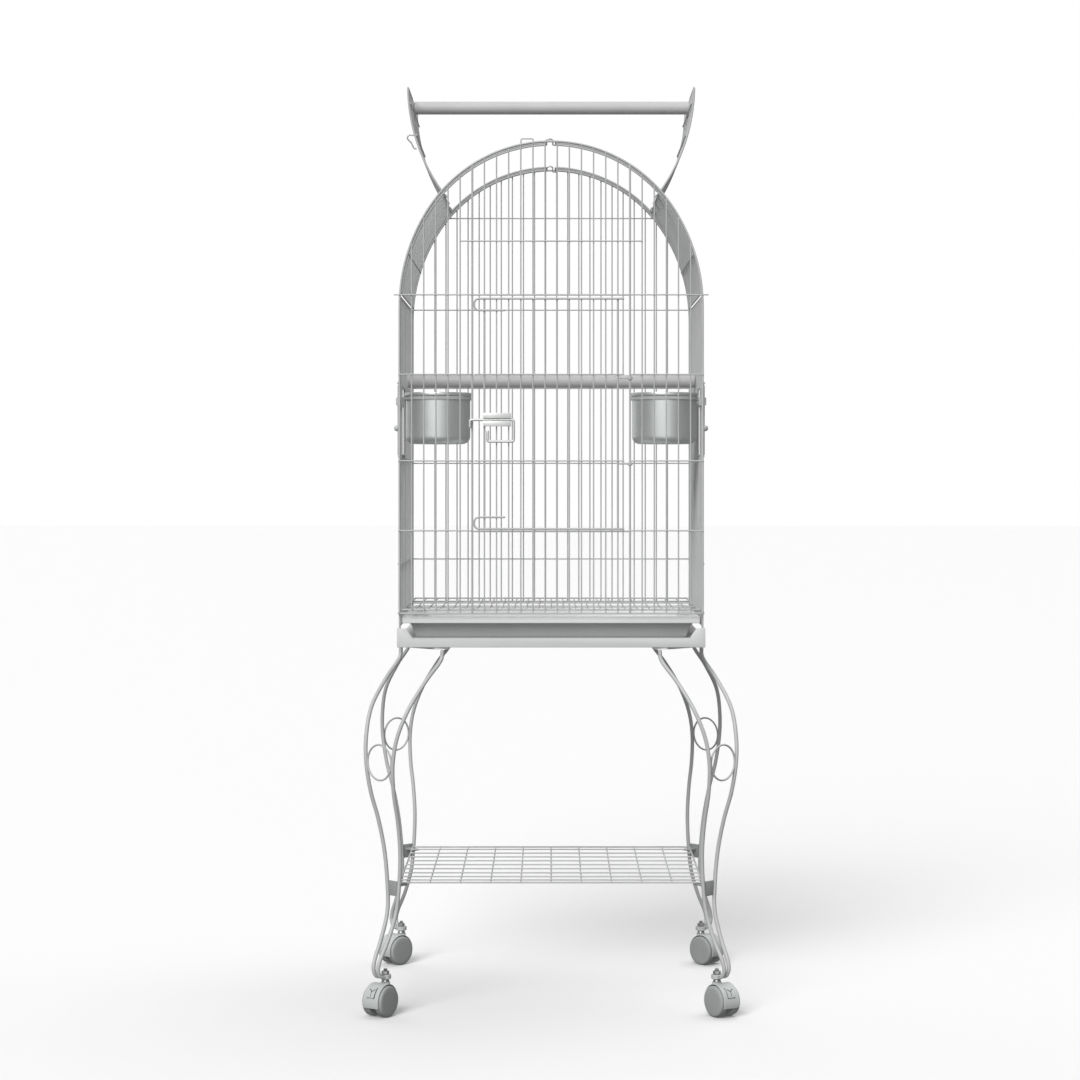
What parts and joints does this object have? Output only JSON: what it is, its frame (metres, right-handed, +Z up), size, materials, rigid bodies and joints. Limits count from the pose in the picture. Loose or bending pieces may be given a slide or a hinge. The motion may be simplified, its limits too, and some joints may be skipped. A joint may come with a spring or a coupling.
{
  "type": "bird cage on stand",
  "caption": "Arched wire bird cage with open roof doors and perches, feeding cups and a slide-out tray, on a wheeled stand with curved rod legs and a wire shelf.",
  "frame": {"origin": "on the floor, under the middle of the whole object's box", "axes": "+Z up, the front with the door faces -Y, +X is the viewer's right from the front"},
  "size_m": [0.6212, 0.5184, 1.5186],
  "materials": {
    "coated_wire": "grey powder coat",
    "coated_sheet": "light grey powder coat",
    "tray": "moulded grey plastic",
    "perch": "smooth light grey",
    "stainless": "polished stainless steel",
    "zinc": "zinc plated",
    "caster_plastic": "moulded grey plastic",
    "wheel_plastic": "moulded grey plastic"
  },
  "bodies": {
    "root": {"base_frame": "coated_sheet", "floor_grate": "coated_wire", "front_panel": "coated_wire", "back_panel": "coated_wire", "left_side_panel": "coated_wire", "right_side_panel": "coated_wire", "left_roof_panel": "coated_wire", "right_roof_panel": "coated_wire", "front_apex_clip": "zinc", "back_apex_clip": "zinc", "inner_perch": "perch", "front_left_roof_strip": "coated_wire", "front_right_roof_strip": "coated_wire", "back_left_roof_strip": "coated_wire", "back_right_roof_strip": "coated_wire", "left_cup_holder": "coated_wire", "right_cup_holder": "coated_wire", "shelf": "coated_wire", "front_left_leg": "coated_wire", "front_left_shelf_clamp": "coated_sheet", "front_left_stem": "zinc", "front_left_nut": "zinc", "front_right_leg": "coated_wire", "front_right_shelf_clamp": "coated_sheet", "front_right_stem": "zinc", "front_right_nut": "zinc", "back_left_leg": "coated_wire", "back_left_shelf_clamp": "coated_sheet", "back_left_stem": "zinc", "back_left_nut": "zinc", "back_right_leg": "coated_wire", "back_right_shelf_clamp": "coated_sheet", "back_right_stem": "zinc", "back_right_nut": "zinc"},
    "tray": {"tray": "tray"},
    "roof_door_left": {"left_roof_door": "coated_wire"},
    "roof_door_right": {"right_roof_door": "coated_wire"},
    "roof_hook": {"roof_hook": "zinc"},
    "top_perch": {"top_perch": "perch"},
    "front_door": {"front_door": "coated_wire", "latch_bracket": "zinc"},
    "latch_bolt": {"latch_bolt": "zinc"},
    "feeder_flap_left": {"left_feeder_flap": "coated_wire"},
    "feeder_flap_right": {"right_feeder_flap": "coated_wire"},
    "cup_left": {"left_cup": "stainless"},
    "cup_right": {"right_cup": "stainless"},
    "front_left_caster": {"front_left_hood": "caster_plastic"},
    "front_left_wheels": {"front_left_wheels": "wheel_plastic"},
    "front_left_brake": {"front_left_brake": "caster_plastic"},
    "front_right_caster": {"front_right_hood": "caster_plastic"},
    "front_right_wheels": {"front_right_wheels": "wheel_plastic"},
    "front_right_brake": {"front_right_brake": "caster_plastic"},
    "back_left_caster": {"back_left_hood": "caster_plastic"},
    "back_left_wheels": {"back_left_wheels": "wheel_plastic"},
    "back_right_caster": {"back_right_hood": "caster_plastic"},
    "back_right_wheels": {"back_right_wheels": "wheel_plastic"}
  },
  "joints": [
    {"name": "tray_slide", "type": "slide", "parent": "root", "child": "tray", "axis": [0, -1, 0], "range_m": [0, 0.4]},
    {"name": "roof_door_left", "type": "hinge", "parent": "root", "child": "roof_door_left", "pos_m": [-0.1775, 0.00356, 1.34059], "axis": [0, 1, 0], "range_deg": [0, 83]},
    {"name": "roof_door_right", "type": "hinge", "parent": "root", "child": "roof_door_right", "pos_m": [0.1775, 0.00356, 1.34059], "axis": [0, -1, 0], "range_deg": [0, 83]},
    {"name": "top_perch_lift", "type": "slide", "parent": "root", "child": "top_perch", "axis": [0, 0, 1], "range_m": [0, 0.37]},
    {"name": "roof_hook_swing", "type": "hinge", "parent": "roof_door_left", "child": "roof_hook", "pos_m": [-0.22207, -0.12746, 1.43753], "axis": [0, 1, 0], "range_deg": [-60, 90]},
    {"name": "front_door_hinge", "type": "hinge", "parent": "root", "child": "front_door", "pos_m": [0.1287, -0.19394, 0.9755], "axis": [0, 0, 1], "range_deg": [0, 110]},
    {"name": "latch_slide", "type": "slide", "parent": "front_door", "child": "latch_bolt", "axis": [1, 0, 0], "range_m": [0, 0.012]},
    {"name": "feeder_flap_left_hinge", "type": "hinge", "parent": "root", "child": "feeder_flap_left", "pos_m": [-0.25067, -0.10504, 1.026], "axis": [0, 1, 0], "range_deg": [0, 90]},
    {"name": "feeder_flap_right_hinge", "type": "hinge", "parent": "root", "child": "feeder_flap_right", "pos_m": [0.25067, -0.10504, 1.026], "axis": [0, -1, 0], "range_deg": [0, 90]},
    {"name": "cup_left_lift", "type": "slide", "parent": "root", "child": "cup_left", "axis": [0, 0, 1], "range_m": [0, 0.09]},
    {"name": "cup_right_lift", "type": "slide", "parent": "root", "child": "cup_right", "axis": [0, 0, 1], "range_m": [0, 0.09]},
    {"name": "front_left_swivel", "type": "hinge", "parent": "root", "child": "front_left_caster", "pos_m": [-0.26909, -0.21553, 0.0555], "axis": [0, 0, 1], "continuous": true},
    {"name": "front_left_roll", "type": "hinge", "parent": "front_left_caster", "child": "front_left_wheels", "pos_m": [-0.27657, -0.22737, 0.025], "axis": [-0.8453, 0.5344, 0], "continuous": true},
    {"name": "front_left_brake_hinge", "type": "hinge", "parent": "front_left_caster", "child": "front_left_brake", "pos_m": [-0.28574, -0.24186, 0.04776], "axis": [-0.8453, 0.5344, 0], "range_deg": [0, 15]},
    {"name": "front_right_swivel", "type": "hinge", "parent": "root", "child": "front_right_caster", "pos_m": [0.26909, -0.21553, 0.0555], "axis": [0, 0, 1], "continuous": true},
    {"name": "front_right_roll", "type": "hinge", "parent": "front_right_caster", "child": "front_right_wheels", "pos_m": [0.27657, -0.22737, 0.025], "axis": [0.8453, 0.5344, 0], "continuous": true},
    {"name": "front_right_brake_hinge", "type": "hinge", "parent": "front_right_caster", "child": "front_right_brake", "pos_m": [0.28574, -0.24186, 0.04776], "axis": [-0.8453, -0.5344, 0], "range_deg": [0, 15]},
    {"name": "back_left_swivel", "type": "hinge", "parent": "root", "child": "back_left_caster", "pos_m": [-0.26909, 0.22265, 0.0555], "axis": [0, 0, 1], "continuous": true},
    {"name": "back_left_roll", "type": "hinge", "parent": "back_left_caster", "child": "back_left_wheels", "pos_m": [-0.27885, 0.21261, 0.025], "axis": [-0.7169, 0.6972, 0], "continuous": true},
    {"name": "back_right_swivel", "type": "hinge", "parent": "root", "child": "back_right_caster", "pos_m": [0.26909, 0.22265, 0.0555], "axis": [0, 0, 1], "continuous": true},
    {"name": "back_right_roll", "type": "hinge", "parent": "back_right_caster", "child": "back_right_wheels", "pos_m": [0.27885, 0.21261, 0.025], "axis": [0.7169, 0.6972, 0], "continuous": true}
  ],
  "couplings": [
    {"joint": "roof_door_right", "follows": "roof_door_left", "ratio": 1},
    {"joint": "top_perch_lift", "follows": "roof_door_left", "m_per_rad": 0.25}
  ]
}
